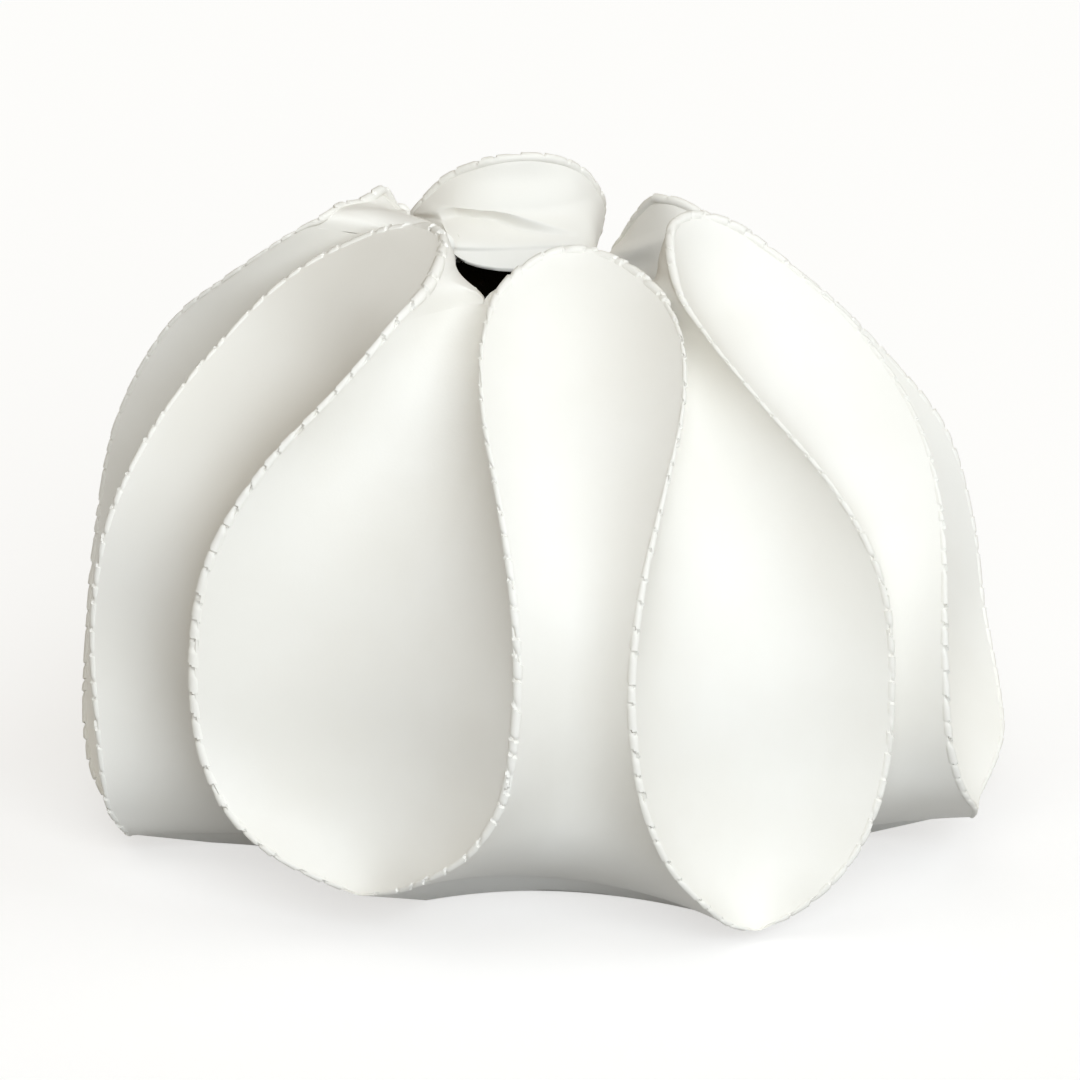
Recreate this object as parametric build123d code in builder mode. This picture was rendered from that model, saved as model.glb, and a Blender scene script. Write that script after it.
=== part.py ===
from build123d import *
import os
from collections import namedtuple
from math import atan2, cos, degrees, hypot, radians, sin

# A hand-built porcelain vase: six channel panels and six teardrop petals stand on a star-shaped base
# slab and meet in one pressed seam that winds up and down round the body. Six caps roll over the lobes
# into the mouth. Millimetres, +Z up, origin at the middle of the foot. Azimuths run from the front (-Y)
# towards +X, in degrees.

# Clay
wall = 4.5  # thickness of a sheet at the middle of a hollow
rim_wall = 2.6  # thickness of each sheet near a crown
edge_wall = 1.2  # thickness of each sheet where the seam presses it thin
seam_gap = 0.5  # slip joint along the seam
mitre_share = 0.4  # of the clay at a ridge, what each of its two sheets takes
joint_gap = 0.2  # slip joint between pieces that stand on each other

crown_height = 168.0  # the highest points of the lobes

# Base slab
base_thickness = 4.0
foot_cusp_radius = 92.0  # the slab's star points, on the table
foot_hollow_radius = 66.0  # between the star points, on the table
slab_cusp_radius = 109.0  # the same two at the top of the slab
slab_hollow_radius = 79.0
tip_hollow = 0.5  # how deep a petal dips at its tip

# The seam, row by row from the petal tips to the necks. seam_radius is the ridge, lobe_angle half the
# angle that a lobe spans there, channel_radius and petal_radius the middles of the two hollows. The shares
# say how far the hand-made differences below steer a row: petal_share the petals' azimuths and reaches,
# lean_share and lift_share their tips' leans and lifts, crown_share the crowns' lifts and reaches. The rows
# above the waist hang from the crowns.
Row = namedtuple(
    "Row",
    "height seam_radius lobe_angle channel_radius petal_radius petal_share"
    " lean_share lift_share crown_share",
    defaults=[0, 0, 0],
)
tip = Row(
    height=base_thickness + joint_gap,
    seam_radius=slab_cusp_radius,
    lobe_angle=28.6,
    channel_radius=slab_hollow_radius,
    petal_radius=slab_cusp_radius - tip_hollow,
    petal_share=1,
    lean_share=1,
)
toe = Row(7.0, 113.5, 24.5, 85.0, 108.0, 1, 1, 1)
heel = Row(15.5, 120.0, 18.0, 94.0, 103.0, 1, 0.8, 0.8)
hip = Row(26.0, 122.7, 12.4, 100.5, 99.0, 1, 0.55, 0.55)
belly = Row(40.0, 124.0, 8.6, 106.0, 96.0, 1, 0.3, 0.3)
waist = Row(66.0, 124.0, 6.5, 112.0, 92.0, 1)
flank = Row(crown_height - 71.0, 119.0, 7.8, 107.0, 82.0, 0.85)
haunch = Row(crown_height - 46.0, 106.0, 12.2, 86.0, 70.0, 0.55)
shoulder = Row(crown_height - 26.0, 87.0, 18.5, 62.0, 58.0, 0.25)
collar = Row(crown_height - 18.5, 78.6, 20.7, 54.5, 50.0, 0.16)
neck = Row(crown_height - 13.0, 71.5, 22.0, 49.0, 43.0, 0.1)
petal_rows = [tip, toe, heel, hip, belly, waist, flank, haunch, shoulder, collar, neck]

# The seam over the crowns, where caps take the petals' place: cap_radius is the cap's middle
CapRow = namedtuple(
    "CapRow",
    "height seam_radius lobe_angle channel_radius cap_radius thickness petal_share crown_share"
    " lean_share lift_share",
    defaults=[0, 0],
)
brow = CapRow(crown_height - 5.0, 57.0, 22.5, 44.5, 32.0, wall, 0.05, 0.5)
temple = CapRow(crown_height - 1.8, 50.5, 19.0, 43.6, 34.0, rim_wall, 0.02, 0.85)
crown = CapRow(crown_height, 43.5, 10.0, 41.5, 36.5, edge_wall, 0, 1)
cap_rows = [brow, temple, crown]
rim_radius = 28.0  # the caps' inner edge in the mouth
cap_fullness = 0.55  # 1 is a cap as broad in the mouth as at the seam

# Hand-made differences round the body, from the front lobe or petal towards +X
lobe_azimuths = [5.5, 54.5, 142.5, 192.5, 250.0, 302.0]
petal_azimuths = [26.5, 84.5, 167.0, 220.0, 272.0, 332.5]
petal_widths = [0.76, 1.32, 0.94, 0.94, 0.7, 0.95]
petal_reaches = [-1.5, 0.0, 0.0, 0.0, 5.0, 0.0]  # how much further out a petal stands
petal_leans = [1.0, -4.0, 0.0, 0.0, 10.0, 0.0]  # degrees that a tip leans towards +X
petal_lifts = [-1.5, 5.0, 1.0, 2.0, 0.0, 8.5]  # how much higher a tip hangs
crown_lifts = [-3.0, 2.5, -5.5, 0.0, -2.0, -1.0]  # how much higher a crown rises
crown_reaches = [-7.5, -2.0, 1.5, 7.5, 9.0, -3.0]  # how much further out it lies
lobe_count = len(lobe_azimuths)
half_pitch = 180.0 / lobe_count
lobes = range(lobe_count)


def place(radius, azimuth, height):
    angle = radians(azimuth)
    return Vector(radius * sin(angle), -radius * cos(angle), height)


def seam_point(lobe, side, row):
    petal = lobe if side > 0 else (lobe - 1) % lobe_count
    away = petal_azimuths[petal] - lobe_azimuths[lobe]
    away = (away + 180.0) % 360.0 - 180.0 + row.lean_share * petal_leans[petal]
    by_petal = away - side * petal_widths[petal] * (half_pitch - row.lobe_angle)
    by_lobe = side * row.lobe_angle
    azimuth = lobe_azimuths[lobe] + by_lobe + row.petal_share * (by_petal - by_lobe)
    lift = row.lift_share * petal_lifts[petal] + row.crown_share * crown_lifts[lobe]
    reach = row.petal_share * petal_reaches[petal] + row.crown_share * crown_reaches[lobe]
    return place(row.seam_radius + reach, azimuth, row.height + lift)


def channel_reach(lobe, row):
    beside = (petal_reaches[lobe - 1] + petal_reaches[lobe]) / 2
    return row.petal_share * beside + row.crown_share * crown_reaches[lobe]


class Hollow:
    """One hollow of one row: its two ridge points, its plane and how deep it dips below their chord."""

    def __init__(self, left, right, middle_radius):
        self.left = left
        self.right = right
        middle = (left + right) * 0.5
        along = (right - left).normalized()
        inward = Vector(-middle.X, -middle.Y, 0.0)
        self.plane = Plane(origin=middle, x_dir=along, z_dir=along.cross(inward))
        self.middle_radius = hypot(middle.X, middle.Y)
        self.half_width = (right - left).length / 2
        self.depth = self.middle_radius - middle_radius
        self.slope = degrees(atan2(2 * self.depth, self.half_width))


def channel(lobe, row):
    middle_radius = row.channel_radius + channel_reach(lobe, row)
    return Hollow(seam_point(lobe, -1, row), seam_point(lobe, 1, row), middle_radius)


def dish(petal, row):
    petal = petal % lobe_count
    after = (petal + 1) % lobe_count
    middle_radius = row.petal_radius + row.petal_share * petal_reaches[petal]
    return Hollow(seam_point(petal, 1, row), seam_point(after, -1, row), middle_radius)


def wedge(hollow, before, after):
    """The angles of clay left at a hollow's two ridges, between it and the hollows beside it."""
    left = (hollow.right - hollow.left).get_angle(before.left - hollow.left)
    right = (hollow.left - hollow.right).get_angle(after.right - hollow.right)
    return left - hollow.slope - before.slope, right - hollow.slope - after.slope


def mitre(half_width, side, turn, shift, clay):
    """Both ends of a strip's mitred edge, in the row's plane: turn is the mitre's angle to the chord."""
    angle = radians(turn)
    reach = edge_wall / sin(radians(mitre_share * clay))
    outer = (side * (half_width - shift * sin(angle)), -shift * cos(angle))
    inner = (outer[0] - side * reach * cos(angle), outer[1] + reach * sin(angle))
    return outer, inner


def strip(hollow, clay, thickness):
    """A sheet's section: a dished strip, thin at its two mitred ends."""
    (left, left_in), (right, right_in) = (
        mitre(hollow.half_width, side, hollow.slope + mitre_share * angle, seam_gap / 2, angle)
        for side, angle in zip((-1, 1), clay)
    )
    dip = 2 * (hollow.depth + thickness) - (left_in[1] + right_in[1]) / 2
    with BuildSketch(hollow.plane) as section:
        with BuildLine():
            Bezier(left, (0, 2 * hollow.depth), right)
            Line(right, right_in)
            Bezier(right_in, (0, dip), left_in)
            Line(left_in, left)
        make_face()
    return section.sketch


class Cap:
    """A cap's outer curve in one row: a U on the mouth side of the channel's two ridge points."""

    def __init__(self, hollow, inner_radius):
        self.depth = hollow.middle_radius - inner_radius
        self.dip = self.depth * 4 / 3  # a cubic's middle lies at 3/4 of its control points' depth
        self.fullness = cap_fullness * hollow.half_width
        self.slope = degrees(atan2(self.dip, hollow.half_width - self.fullness))


def cap_middle(lobe, row):
    return row.cap_radius + row.crown_share * crown_reaches[lobe]


def cap_strip(hollow, inner_radius, thickness):
    """A cap's section, mitred to the channel that shares its ridge points."""
    cap = Cap(hollow, inner_radius)
    clay = cap.slope - hollow.slope
    (left, left_in), (right, right_in) = (
        mitre(hollow.half_width, side, cap.slope - mitre_share * clay, -seam_gap / 2, clay)
        for side in (-1, 1)
    )
    dip_in = left_in[1] + (cap.depth - thickness - left_in[1]) * 4 / 3
    full_in = cap.fullness - thickness
    with BuildSketch(hollow.plane) as section:
        with BuildLine():
            Bezier(left, (-cap.fullness, cap.dip), (cap.fullness, cap.dip), right)
            Line(right, right_in)
            Bezier(right_in, (full_in, dip_in), (-full_in, dip_in), left_in)
            Line(left_in, left)
        make_face()
    return section.sketch


os.makedirs("parts", exist_ok=True)

# Base slab
with BuildPart() as base_slab:
    for height, cusp_radius, hollow_radius in (
        (0.0, foot_cusp_radius, foot_hollow_radius),
        (base_thickness, slab_cusp_radius, slab_hollow_radius),
    ):
        cusps = [
            place(cusp_radius + petal_reaches[p], petal_azimuths[p] + petal_leans[p], 0.0) for p in lobes
        ]
        with BuildSketch(Plane.XY.offset(height)):
            with BuildLine():
                for lobe in lobes:
                    middle = (cusps[lobe - 1] + cusps[lobe]) * 0.5
                    dip = 2 * (hollow_radius + channel_reach(lobe, tip)) / middle.length - 1
                    Bezier(cusps[lobe - 1], middle * dip, cusps[lobe])
            make_face()
    loft()
base_slab.part.label = "base_slab"
export_step(base_slab.part, "parts/base_slab.step")

# Channel panels
for lobe in lobes:
    name = f"channel_panel_{lobe + 1}"
    sections = []
    for row in petal_rows:
        here = channel(lobe, row)
        sections.append(strip(here, wedge(here, dish(lobe - 1, row), dish(lobe, row)), wall))
    for row in cap_rows:
        here = channel(lobe, row)
        clay = Cap(here, cap_middle(lobe, row)).slope - here.slope
        sections.append(strip(here, (clay, clay), row.thickness))
    with BuildPart() as panel:
        loft(sections)
    panel.part.label = name
    export_step(panel.part, f"parts/{name}.step")

# Petals
for petal in lobes:
    name = f"petal_{petal + 1}"
    sections = []
    for row in petal_rows:
        here = dish(petal, row)
        clay = wedge(here, channel(petal, row), channel((petal + 1) % lobe_count, row))
        sections.append(strip(here, clay, edge_wall if row is tip else wall))
    with BuildPart() as sheet:
        loft(sections)
    sheet.part.label = name
    export_step(sheet.part, f"parts/{name}.step")

# Rim caps
cap_foot = neck._replace(height=neck.height + joint_gap)
for lobe in lobes:
    name = f"rim_cap_{lobe + 1}"
    sections = [cap_strip(channel(lobe, cap_foot), rim_radius, wall)]
    for row in cap_rows:
        sections.append(cap_strip(channel(lobe, row), cap_middle(lobe, row), row.thickness))
    with BuildPart() as cap:
        loft(sections)
    cap.part.label = name
    export_step(cap.part, f"parts/{name}.step")
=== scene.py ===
import math

import bmesh
import bpy
import numpy as np
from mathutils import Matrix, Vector


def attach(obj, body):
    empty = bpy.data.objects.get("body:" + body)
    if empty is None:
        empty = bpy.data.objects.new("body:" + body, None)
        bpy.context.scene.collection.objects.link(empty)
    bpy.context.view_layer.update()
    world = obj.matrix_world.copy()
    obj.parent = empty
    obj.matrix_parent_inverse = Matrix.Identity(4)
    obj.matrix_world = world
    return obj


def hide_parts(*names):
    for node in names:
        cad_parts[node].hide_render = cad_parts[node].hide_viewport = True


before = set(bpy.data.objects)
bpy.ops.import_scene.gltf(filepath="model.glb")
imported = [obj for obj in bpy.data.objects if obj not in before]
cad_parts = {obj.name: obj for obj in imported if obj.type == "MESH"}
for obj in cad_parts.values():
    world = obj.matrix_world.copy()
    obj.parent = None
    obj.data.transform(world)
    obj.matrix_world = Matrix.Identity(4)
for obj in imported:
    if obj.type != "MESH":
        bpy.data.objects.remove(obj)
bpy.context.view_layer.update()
scene = bpy.context.scene
mm = 0.001

# The vase's plan: azimuths run from the front (-Y) towards +X, in degrees, lengths in millimetres
vase = {
    "lobeAzimuths": [5.5, 54.5, 142.5, 192.5, 250.0, 302.0],
    "petalAzimuths": [26.5, 84.5, 167.0, 220.0, 272.0, 332.5],
    "petalWidths": [0.76, 1.32, 0.94, 0.94, 0.7, 0.95],  # how wide a petal is, against an even share
    "petalReaches": [-1.5, 0.0, 0.0, 0.0, 5.0, 0.0],  # how much further out a petal stands
    "petalLeans": [1.0, -4.0, 0.0, 0.0, 10.0, 0.0],  # degrees that a tip leans
    "petalLifts": [-1.5, 5.0, 1.0, 2.0, 0.0, 8.5],  # how much higher a tip hangs
    "neckDrops": [2.5, 6.5, 9.0, 11.5, -9.5, 3.0],  # how much lower a lobe's upper flanks lie
    "neckReaches": [-1.5, 1.5, -4.0, 6.5, -3.0, 1.5],  # how much further out they lie
    "crownLifts": [-3.0, 2.5, -5.5, 0.0, -1.3, -1.0],  # how much higher a crown rises
    "crownReaches": [-7.5, -2.0, -2.5, 7.5, 10.0, -3.0],  # how much further out it lies
    "crownTurns": [0.0, 0.0, -3.0, 0.0, -6.0, 0.0],  # degrees that it turns sideways
    "backDrops": [0.0, 0.0, 11.0, 0.0, 13.0, 0.0],  # how much lower one side of it falls away
    "backSides": [1, 1, 1, 1, -1, 1],  # which side that is, -1 or 1
    "frontDrops": [0.0, 0.0, 0.0, 0.0, 1.5, 0.0],  # how much lower the other side falls
    "petalFills": [9.0, 0.0, 0.0, 0.0, 0.0, 8.0],  # how much shallower a dish is
    "channelFills": [0.0, 0.0, 0.0, 0.0, 0.0, 12.0],  # how much shallower a channel is below its crown
    "capReaches": [0.0, 0.0, 0.0, 0.0, 2.0, 0.0],  # how much further out a cap's mouth side stands
    "lipReaches": [-0.6, 0.6, -1.6, 2.6, 4.0, 0.6],  # and how much further out it turns down
    "lipLifts": [0.0, 0.0, 0.0, 3.5, 0.0, 0.0],  # how much higher it turns down
    "rimBack": 1.9,  # from the ridge to where each sheet meets the pressed rim
    "crownBack": 0.3,  # of that, what is left at a crown
    "wall": 4.5,  # a sheet at the middle of its hollow
    "edge": 0.15,  # a sheet under the pressed seam
    "crownThinning": 0.75,  # of the wall, what is lost at a crown
    "clayShare": 0.3,  # of the clay's angle at the seam, what each sheet takes
    "glazeAndShadeFrom": 0.75,  # of the full wall, where the near-black glaze with painted shade begins on the inside
    "glazeAndShadeFromLow": 0.35,  # and where it begins below the mouth
    "glazeAndShadeLow": 138.0,  # up to this height
    "backThinning": 0.6,  # of the wall, what a dropped lobe's channel loses behind its crown
}
lobeCount = len(vase["lobeAzimuths"])
halfPitch = 180.0 / lobeCount

# The seam from a petal's tip to a lobe's crown. Each row: height, ridge radius, half the angle of a lobe,
# the middles of the channel and of the petal or cap, then how far petals, tips, necks, crowns and backs
# steer it
seamRows = {
    "tip": (4.4, 111.5, 30.0, 70.0, 111.5, 1.0, 1.0, 0.0, 0.0, 0.0),
    "toe": (6.6, 113.8, 25.0, 77.0, 108.5, 1.0, 1.0, 0.0, 0.0, 0.0),
    "heel": (15.5, 120.0, 18.0, 91.0, 103.0, 1.0, 0.8, 0.0, 0.0, 0.0),
    "hip": (26.0, 122.7, 12.4, 100.0, 99.0, 1.0, 0.55, 0.0, 0.0, 0.0),
    "belly": (40.0, 124.0, 8.6, 106.0, 96.0, 1.0, 0.3, 0.0, 0.0, 0.0),
    "waist": (66.0, 124.0, 6.5, 112.0, 92.0, 1.0, 0.0, 0.0, 0.0, 0.0),
    "flank": (97.0, 119.0, 7.8, 107.0, 82.0, 0.85, 0.0, 0.5, 0.0, 0.0),
    "haunch": (122.0, 106.0, 12.2, 86.0, 70.0, 0.55, 0.0, 1.0, 0.0, 0.3),
    "shoulder": (142.0, 87.0, 18.5, 62.0, 58.0, 0.25, 0.0, 1.0, 0.0, 0.7),
    "collar": (149.5, 78.6, 20.7, 54.5, 50.0, 0.16, 0.0, 1.0, 0.0, 0.9),
    "neck": (155.0, 71.5, 22.0, 49.0, 43.0, 0.1, 0.0, 1.0, 0.0, 1.0),
    "brow": (163.0, 57.0, 22.5, 44.5, 36.5, 0.05, 0.0, 0.6, 0.5, 1.0),
    "temple": (166.2, 50.5, 19.0, 43.6, 38.5, 0.02, 0.0, 0.3, 0.85, 1.0),
    "crown": (168.0, 44.0, 10.5, 42.3, 40.5, 0.0, 0.0, 0.0, 1.0, 0.55),
    "apex": (168.4, 42.4, 0.0, 42.4, 42.4, 0.0, 0.0, 0.0, 1.0, 0.0),
}
rowNames = list(seamRows)
rowTable = np.array([seamRows[name] for name in rowNames])
heightColumn, ridgeColumn, angleColumn, channelColumn, petalColumn = range(5)
petalShareColumn, tipShareColumn, neckShareColumn, crownShareColumn, backShareColumn = range(5, 10)


def place(radius, azimuth, height):  # millimetres and degrees to a point in metres
    angle = np.radians(azimuth)
    flat = [radius * np.sin(angle), -radius * np.cos(angle), height + 0.0 * angle]
    return np.stack(flat, axis=-1) * mm


rowPoints = place(rowTable[:, ridgeColumn], rowTable[:, angleColumn], rowTable[:, heightColumn])
rowRuns = np.linalg.norm(np.diff(rowPoints, axis=0), axis=1)
rowAlong = np.concatenate([[0.0], np.cumsum(rowRuns)])  # metres along the seam from the tip
along = dict(zip(rowNames, rowAlong))


def seamValue(column, at):  # a smooth curve through one column; angles turn about the tip and the apex
    knots = np.concatenate([[-rowAlong[1]], rowAlong, [2 * rowAlong[-1] - rowAlong[-2]]])
    values = rowTable[:, column]
    if column == angleColumn:
        before, after = 2 * values[0] - values[1], 2 * values[-1] - values[-2]
    else:
        before, after = values[1], values[-2]
    values = np.concatenate([[before], values, [after]])
    steps = np.diff(knots)
    slopes = np.diff(values) / steps
    tangents = (slopes[:-1] * steps[1:] + slopes[1:] * steps[:-1]) / (steps[:-1] + steps[1:])
    span = np.clip(np.searchsorted(rowAlong, at, side="right") - 1, 0, len(rowAlong) - 2)
    width = rowRuns[span]
    t = (at - rowAlong[span]) / width
    start, end = values[span + 1], values[span + 2]
    return (
        (2 * t**3 - 3 * t**2 + 1) * start
        + (t**3 - 2 * t**2 + t) * width * tangents[span]
        + (3 * t**2 - 2 * t**3) * end
        + (t**3 - t**2) * width * tangents[span + 1]
    )


def rowHeight(lobe, at):
    lift = seamValue(crownShareColumn, at) * vase["crownLifts"][lobe]
    drop = seamValue(neckShareColumn, at) * vase["neckDrops"][lobe]
    return seamValue(heightColumn, at) + lift - drop


def backDrop(lobe, side, at):
    drops = vase["backDrops"] if side == vase["backSides"][lobe] else vase["frontDrops"]
    return seamValue(backShareColumn, at) * drops[lobe]


def lobeReach(lobe, at):
    neck = seamValue(neckShareColumn, at) * vase["neckReaches"][lobe]
    return neck + seamValue(crownShareColumn, at) * vase["crownReaches"][lobe]


def lobeAzimuth(lobe, at):
    return vase["lobeAzimuths"][lobe] + seamValue(crownShareColumn, at) * vase["crownTurns"][lobe]


def petalReach(petal, at):
    return seamValue(petalShareColumn, at) * vase["petalReaches"][petal]


def petalBeside(lobe, side):
    return lobe if side > 0 else (lobe - 1) % lobeCount


def seamPoint(lobe, side, at):  # one side of a lobe's seam
    petal = petalBeside(lobe, side)
    tipShare = seamValue(tipShareColumn, at)
    lobeAngle = seamValue(angleColumn, at)
    away = vase["petalAzimuths"][petal] - vase["lobeAzimuths"][lobe]
    away = (away + 180.0) % 360.0 - 180.0 + tipShare * vase["petalLeans"][petal]
    byPetal = away - side * vase["petalWidths"][petal] * (halfPitch - lobeAngle)
    byLobe = side * lobeAngle
    azimuth = lobeAzimuth(lobe, at) + byLobe + seamValue(petalShareColumn, at) * (byPetal - byLobe)
    radius = seamValue(ridgeColumn, at) + petalReach(petal, at) + lobeReach(lobe, at)
    height = rowHeight(lobe, at) - backDrop(lobe, side, at) + tipShare * vase["petalLifts"][petal]
    return place(radius, azimuth, height)


def hollowMiddle(left, right, middleRadius):  # the control point that dips a hollow to that radius
    middle = (left + right) / 2
    flat = middle * [1.0, 1.0, 0.0]
    reach = np.linalg.norm(flat, axis=-1, keepdims=True)
    return middle - flat / reach * 2 * (reach - middleRadius[:, None] * mm)


def bow(left, control, right, across):  # rows of a hollow, column by column
    t = across[None, :, None]
    return left[:, None] * (1 - t) ** 2 + control[:, None] * 2 * t * (1 - t) + right[:, None] * t**2


def petalRails(petal, at):
    after = (petal + 1) % lobeCount
    left, right = seamPoint(petal, 1, at), seamPoint(after, -1, at)
    beside = (lobeReach(petal, at) + lobeReach(after, at)) / 2
    fill = (1 - seamValue(tipShareColumn, at)) * seamValue(petalShareColumn, at) * vase["petalFills"][petal]
    dish = seamValue(petalColumn, at) + petalReach(petal, at) + beside + fill
    return left, hollowMiddle(left, right, dish), right


def channelRails(lobe, at):
    left, right = seamPoint(lobe, -1, at), seamPoint(lobe, 1, at)
    beside = (petalReach(petalBeside(lobe, -1), at) + petalReach(lobe, at)) / 2
    fill = seamValue(neckShareColumn, at) * seamValue(backShareColumn, at) * vase["channelFills"][lobe]
    hollow = seamValue(channelColumn, at) + beside + lobeReach(lobe, at) + fill
    return left, hollowMiddle(left, right, hollow), right


# Measures of the rim caps: lengths in millimetres, the rest shares
capShape = {
    "rows": 90,
    "columns": 101,
    "saddleShare": 0.3,  # of half a row, what runs along the petal's neck
    "freeRun": 0.25,  # of half a row, over which the lip goes over to its own direction
    "fullness": 0.62,  # how far sideways the pulls fill a cap out
    "tilt": 0.9,  # how far they follow a ridge up or down
    "innerPull": 0.55,  # of the way to a pull, where a row leaves its ridge
    "cornerPull": 1.15,  # how far the neck swings out on its way to the mouth
    "blendRow": "brow",  # the row at which a cap has left the neck's curve
    "neckRadius": 33.0,  # from the axis to where the sheet turns down into the mouth
    "lipRows": 16,
    "lipHeight": 142.5,  # where the lip ends
    "lipDrop": 1.5,  # how far it hangs at the least
    "lipTurn": 3.0,  # how much nearer to the axis it ends
    "lipThin": 0.4,  # of the wall, what is left at its end
    "lipCurl": 1.3,  # how late along a row it reaches its full drop
}


def capRails(lobe, at):  # both ridges, the pulls that fill the cap out and the middle of its mouth side
    left, right = seamPoint(lobe, -1, at), seamPoint(lobe, 1, at)
    azimuth = lobeAzimuth(lobe, at)
    reach = lobeReach(lobe, at) + (1 - seamValue(crownShareColumn, at) ** 2) * vase["capReaches"][lobe]
    height = rowHeight(lobe, at) - (backDrop(lobe, 1, at) + backDrop(lobe, -1, at)) / 2
    middle = place(seamValue(petalColumn, at) + reach, azimuth, height)
    sideways = place(1.0, azimuth + 90.0, 0.0) / mm
    pulls = [
        middle + sideways * capShape["fullness"] * np.sum((ridge - middle) * sideways, axis=-1, keepdims=True)
        + (ridge - middle) * [0, 0, capShape["tilt"]]
        for ridge in (left, right)
    ]
    return left, pulls[0], middle, pulls[1], right


# How the sheets leave the seam: lengths in millimetres, the rest shares
edgeShape = {
    "lookAhead": 3.0,  # along the seam, where the sheets beside a point are looked at
    "tangentStep": 0.5,  # along the seam, for its direction
    "leastSlant": 0.35,  # how squarely a sheet leaves the seam, at the least, when it is drawn back
    "widestClay": 1.6,  # radians between the sheets, beyond which a taper grows no more
    "mostTrim": 0.4,  # of a row, the most that one end is drawn back
    "clearRun": 0.3,  # of the way to the neck, how far a clear row is looked for
    "clearSteps": 200,
    "roundOut": 0.3,  # of its thickness, how far a sheet's border is rounded out
}


def unit(vectors):
    return vectors / np.maximum(np.linalg.norm(vectors, axis=-1, keepdims=True), 1e-12)


def squareTo(tangents, vectors):  # what is left of the vectors across the tangents
    return vectors - tangents * np.sum(vectors * tangents, axis=-1, keepdims=True)


def ridgeWays(lobe, side, at):  # unit ways from the ridge down into the upper and the lower sheet
    step = edgeShape["lookAhead"] * mm
    ridge = seamPoint(lobe, side, at)
    upper = petalRails(petalBeside(lobe, side), np.minimum(at + step, along["neck"]))[1]
    pull = capRails(lobe, np.maximum(at - step, along["neck"]))[1 if side < 0 else 3]
    upper = np.where((at > along["neck"])[:, None], pull, upper) - ridge
    lower = channelRails(lobe, np.maximum(at - step, 0.0))[1] - ridge
    return unit(upper), unit(lower)


def ridgeFrame(lobe, side, at):  # ways square to the seam, the clay's angle, how far each sheet draws back
    step = edgeShape["tangentStep"] * mm
    ahead, behind = (seamPoint(lobe, side, np.clip(at + way, 0, along["apex"])) for way in (step, -step))
    tangent = unit(ahead - behind)
    square = [squareTo(tangent, way) for way in ridgeWays(lobe, side, at)]
    back = vase["rimBack"] * mm * (1 - (1 - vase["crownBack"]) * seamValue(crownShareColumn, at))
    trims = [back / np.maximum(np.linalg.norm(way, axis=-1), edgeShape["leastSlant"]) for way in square]
    upper, lower = unit(square[0]), unit(square[1])
    clay = np.arccos(np.clip(np.sum(upper * lower, axis=-1), -1, 1))
    return upper, lower, clay, trims


def ridgeTaper(lobe, side, at):  # how fast a sheet may thicken away from the ridge
    clay = ridgeFrame(lobe, side, at)[2]
    return np.tan(vase["clayShare"] * np.minimum(clay, edgeShape["widestClay"]))


def trimEdges(grid, leftTrim, rightTrim):  # draws the ends of each row back from the seam
    trimmed = np.empty_like(grid)
    for row, points in enumerate(grid):
        run = np.concatenate([[0.0], np.cumsum(np.linalg.norm(np.diff(points, axis=0), axis=1))])
        total = max(run[-1], 1e-9)
        most = edgeShape["mostTrim"] * total
        first, last = min(leftTrim[row], most), min(rightTrim[row], most)
        wanted = first + run * (total - first - last) / total
        for axis in range(3):
            trimmed[row, :, axis] = np.interp(wanted, run, points[:, axis])
    return trimmed


def withFirst(values, count):  # repeats the first value for the rows below it
    return np.concatenate([np.repeat(values[:1], count, axis=0), values])


def clearOf(rails, lobeOrPetal, end):  # where a row's middle is clear of the pressed rim at a tip or a crown
    search = np.linspace(0, edgeShape["clearRun"], edgeShape["clearSteps"])
    at = end + (along["neck"] - end) * search
    left, control, right = rails(lobeOrPetal, at)
    middle = (left + 2 * control + right) / 4
    away = np.linalg.norm(middle - middle[0], axis=1)
    return at[np.argmax(away > vase["crownBack"] * vase["rimBack"] * mm)]


def gridNormals(grid):  # outward for rows that climb and columns that run towards +X at the front
    return unit(np.cross(np.gradient(grid, axis=1), np.gradient(grid, axis=0)))


dentWaves = {"count": 6, "stray": (0.7, 1.5)}  # how many are added up, and how far their lengths stray


def softDents(grid, shape, number):  # the slow unevenness of hand-shaped clay
    rng = np.random.default_rng(shape["dentSeed"] + number)
    waves = np.zeros(grid.shape[:2])
    for wave in range(dentWaves["count"]):
        direction = rng.normal(size=3)
        length = shape["dentSize"] * mm * rng.uniform(*dentWaves["stray"])
        direction *= 2 * math.pi / length / np.linalg.norm(direction)
        waves += np.sin(grid @ direction + rng.uniform(0, 2 * math.pi))
    return waves / dentWaves["count"] * shape["dentDepth"] * mm


meshRules = {"weld": 2e-6, "sliver": 1e-6, "sharp": 60.0}  # metres, and degrees for a sharp edge


def finishMesh(name, points, faces, glazeAndShaded, materials):  # a closed piece, with the faces that take the dark glaze and painted shade
    mesh = bpy.data.meshes.new(name)
    mesh.from_pydata(points.tolist(), [], faces)
    for material in materials:
        mesh.materials.append(material)
    if len(materials) > 1:
        for face in glazeAndShaded:
            mesh.polygons[face].material_index = 1
    shell = bmesh.new()
    shell.from_mesh(mesh)
    bmesh.ops.remove_doubles(shell, verts=shell.verts, dist=meshRules["weld"])
    bmesh.ops.dissolve_degenerate(shell, edges=shell.edges, dist=meshRules["sliver"])
    bmesh.ops.recalc_face_normals(shell, faces=shell.faces)
    shell.to_mesh(mesh)
    shell.free()
    mesh.shade_smooth()
    mesh.set_sharp_from_angle(angle=math.radians(meshRules["sharp"]))
    piece = bpy.data.objects.new(name, mesh)
    scene.collection.objects.link(piece)
    return piece


def quads(grid):  # the faces between the points of a grid
    corners = [grid[:-1, :-1], grid[:-1, 1:], grid[1:, 1:], grid[1:, :-1]]
    return np.stack(corners, axis=-1).reshape(-1, 4)


def band(first, second):  # the faces between two closed loops
    return np.stack([first, np.roll(first, -1), np.roll(second, -1), second], axis=-1).tolist()


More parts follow.
